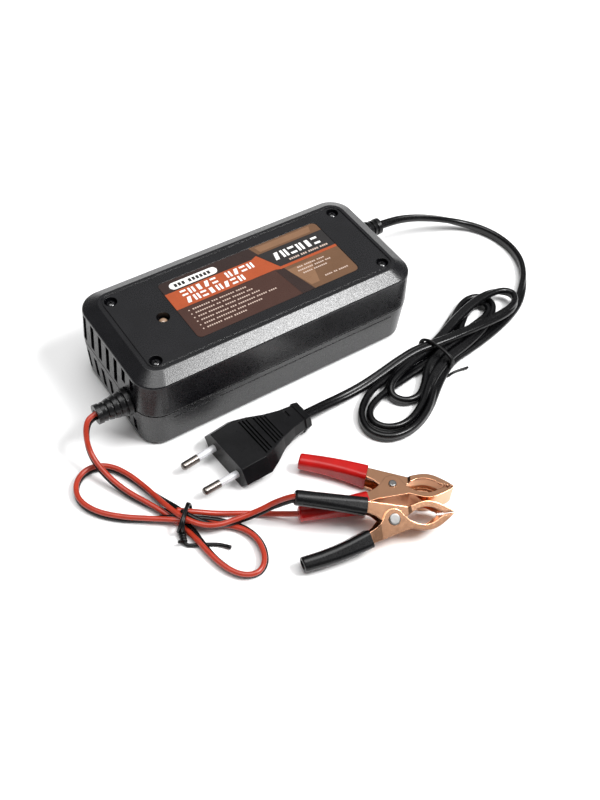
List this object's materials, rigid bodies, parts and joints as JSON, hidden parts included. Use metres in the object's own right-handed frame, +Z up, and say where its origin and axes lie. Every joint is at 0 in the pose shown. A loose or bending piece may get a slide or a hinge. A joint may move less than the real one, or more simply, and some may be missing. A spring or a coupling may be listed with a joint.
{
  "type": "car battery charger",
  "caption": "Mains car battery charger: black plastic case, coiled mains cord with a flat two-pin plug, and a red and black output lead ending in two spring clips.",
  "frame": {"origin": "centre of the case's underside, on the surface that the charger rests on", "axes": "+X along the case towards the mains cord's end, +Z up out of the labelled top, +Y towards the long side away from the clips"},
  "size_m": [0.299, 0.1842, 0.0465],
  "materials": {
    "shell_plastic": "moulded black plastic with a fine sparkling texture",
    "label_film": "printed label under gloss film, brown with an orange band",
    "black_steel": "black oxide, slightly glossy",
    "led_lens": "clear amber epoxy",
    "white_nylon": "natural nylon",
    "cable_pvc": "soft black PVC, satin",
    "plug_plastic": "black moulded plastic, satin",
    "white_sleeve": "white translucent nylon",
    "nickel": "nickel-plated brass",
    "tie_pvc": "plastic-coated twist wire",
    "board_laminate": "green solder mask",
    "ferrite": "dark ground ferrite",
    "winding_tape": "yellow polyester tape",
    "capacitor_sleeve": "dark shrink sleeve",
    "bare_aluminium": "extruded, bare",
    "chip_epoxy": "moulded epoxy",
    "choke_winding": "enamelled copper wire on a ring",
    "film_capacitor": "yellow moulded box",
    "fuse_glass": "glass tube in metal clips",
    "terminal_plastic": "green moulded plastic",
    "red_wire": "red and black PVC twin flex, glossy",
    "black_wire": "black PVC, satin",
    "copper_plated_steel": "copper-plated sheet steel, semi-bright",
    "bright_rivet": "nickel-plated rivet",
    "spring_steel": "spring wire",
    "red_grip": "dip-moulded red PVC, glossy",
    "black_grip": "dip-moulded black PVC, glossy"
  },
  "bodies": {
    "charger": {"ac_cord": "cable_pvc", "ac_cord_to_plug": "cable_pvc", "ac_gland": "cable_pvc", "ac_hank": "cable_pvc", "ac_tie": "tie_pvc", "black_clip_rivet": "bright_rivet", "black_clip_spring": "spring_steel", "black_clip_upper_grip": "black_grip", "black_clip_upper_jaw": "copper_plated_steel", "black_tail": "black_wire", "circuit_board": "board_laminate", "common_mode_choke": "choke_winding", "control_chips": "chip_epoxy", "dc_gland": "cable_pvc", "dc_hank": "red_wire", "dc_lead": "red_wire", "dc_tie": "tie_pvc", "heat_sink_mains": "bare_aluminium", "heat_sink_output": "bare_aluminium", "housing_screws": "black_steel", "label_sticker": "label_film", "led_standoff": "white_nylon", "lower_shell": "shell_plastic", "mains_capacitor": "capacitor_sleeve", "mains_fuse": "fuse_glass", "mains_terminal": "terminal_plastic", "output_capacitors": "capacitor_sleeve", "output_terminal": "terminal_plastic", "pin_sleeves": "white_sleeve", "plug_body": "plug_plastic", "plug_pins": "nickel", "power_switches": "chip_epoxy", "red_clip_lower_grip": "red_grip", "red_clip_lower_jaw": "copper_plated_steel", "red_clip_rivet": "bright_rivet", "red_clip_spring": "spring_steel", "red_tail": "red_wire", "status_led": "led_lens", "suppression_capacitor": "film_capacitor", "transformer_coil": "winding_tape", "transformer_core": "ferrite", "upper_shell": "shell_plastic"},
    "red_clip_upper_half": {"red_clip_upper_jaw": "copper_plated_steel", "red_clip_upper_grip": "red_grip", "red_clip_spring_arm": "spring_steel"},
    "black_clip_lower_half": {"black_clip_lower_jaw": "copper_plated_steel", "black_clip_lower_grip": "black_grip", "black_clip_spring_arm": "spring_steel"}
  },
  "joints": [
    {"name": "red_clip_open", "type": "hinge", "parent": "charger", "child": "red_clip_upper_half", "pos_m": [0.0044, -0.1182, 0.00665], "axis": [0, 0, 1], "range_deg": [0, 24], "stiffness_Nm_per_rad": 0.8, "springref_deg": -14.32},
    {"name": "black_clip_open", "type": "hinge", "parent": "charger", "child": "black_clip_lower_half", "pos_m": [-0.0076, -0.133, 0.0108], "axis": [0.1435, 0.4982, -0.8551], "range_deg": [0, 24], "stiffness_Nm_per_rad": 0.8, "springref_deg": -14.32}
  ]
}
